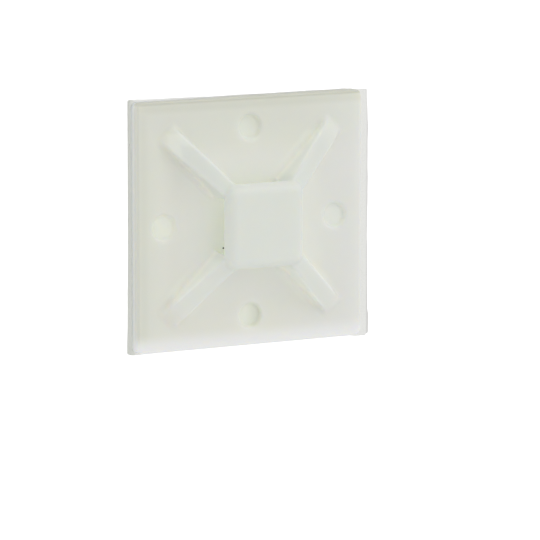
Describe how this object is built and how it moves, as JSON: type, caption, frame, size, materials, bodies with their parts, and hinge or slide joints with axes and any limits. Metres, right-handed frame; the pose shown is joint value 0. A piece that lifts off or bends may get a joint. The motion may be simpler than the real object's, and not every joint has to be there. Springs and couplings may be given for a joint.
{
  "type": "cable tie mount",
  "caption": "Square self-adhesive mount: a tie passes under a raised table on sloping ribs, either way, to hold cables to a surface.",
  "frame": {"origin": "centre of the plate's outline, on the outer face of the release liner, which is the face that the part lies on", "axes": "+Z away from the surface that the mount is stuck to, +X and +Y along the plate's sides; the tape and liner reach past the plate at +X"},
  "size_m": [0.0301, 0.0285, 0.0066],
  "materials": {
    "moulding": "natural nylon, translucent off-white, lightly satin",
    "foam_tape": "white closed-cell foam with adhesive faces",
    "liner_paper": "siliconed release paper"
  },
  "bodies": {
    "root": {"mount_body": "moulding", "foam_pad": "foam_tape", "release_liner": "liner_paper"}
  },
  "joints": []
}
